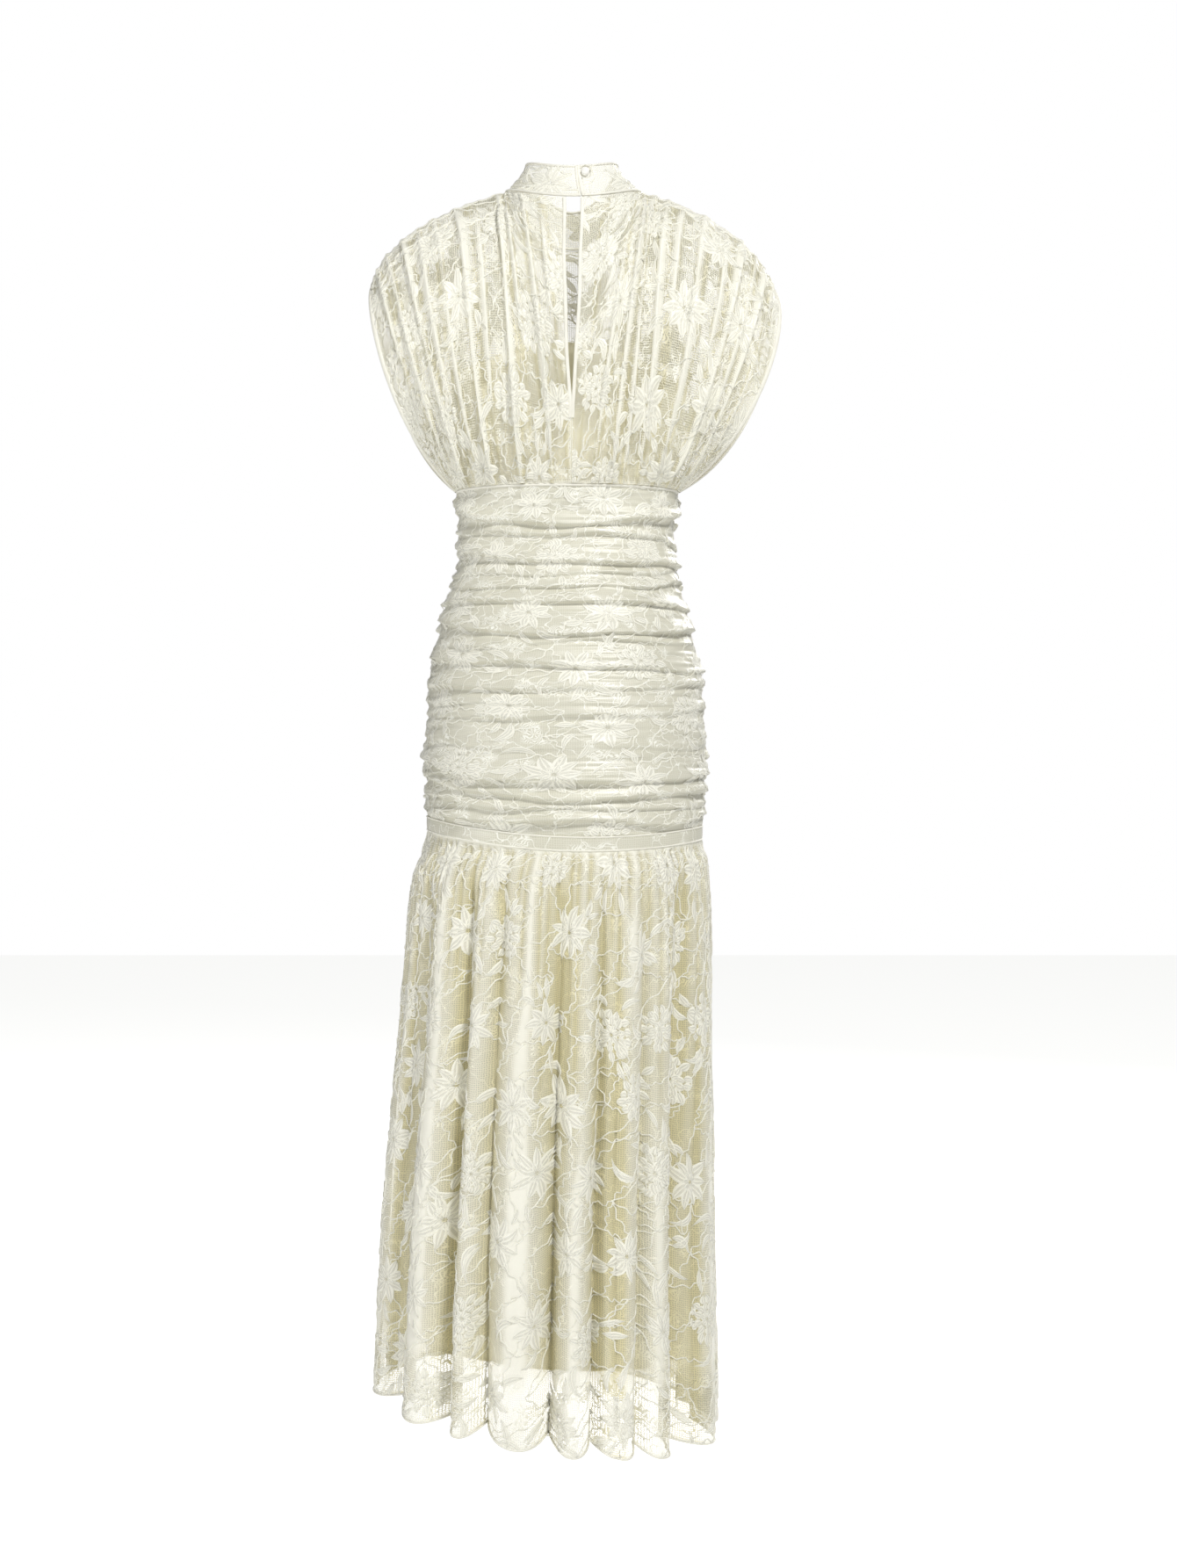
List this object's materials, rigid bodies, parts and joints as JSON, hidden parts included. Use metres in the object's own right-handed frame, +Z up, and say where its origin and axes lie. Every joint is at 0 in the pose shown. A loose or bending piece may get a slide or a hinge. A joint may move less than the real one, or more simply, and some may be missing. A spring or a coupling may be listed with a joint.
{
  "type": "fishtail evening dress",
  "caption": "Sleeveless ivory lace evening dress in its worn form: stand collar, keyhole back, ruched hip, flared fishtail skirt over a plain lining.",
  "frame": {"origin": "on the wearer's axis at the height where the neck meets the shoulders, where the wearer holds the dress up", "axes": "+Z up, -Y towards the wearer's front, +X towards the wearer's left"},
  "size_m": [0.4643, 0.36, 1.4342],
  "materials": {
    "lace": "ivory corded lace, sheer between the motifs",
    "ruched_lace": "ivory lace gathered over satin lining",
    "lining": "soft cream satin",
    "edging": "plain ivory binding",
    "button": "white, softly glossy"
  },
  "bodies": {
    "root": {"collar": "lace", "front_bodice": "lace", "back_bodice_left": "lace", "back_bodice_right": "lace", "lace_skirt_back": "lace", "lace_skirt_front": "lace", "ruched_back": "ruched_lace", "ruched_front": "ruched_lace", "hip_band_back": "ruched_lace", "hip_band_front": "ruched_lace", "bodice_lining_back": "lining", "bodice_lining_front": "lining", "skirt_lining_back": "lining", "skirt_lining_front": "lining", "button_loop": "edging", "placket_left": "edging", "placket_right": "edging", "armhole_binding_left": "edging", "armhole_binding_right": "edging", "collar_button": "button"}
  },
  "joints": []
}
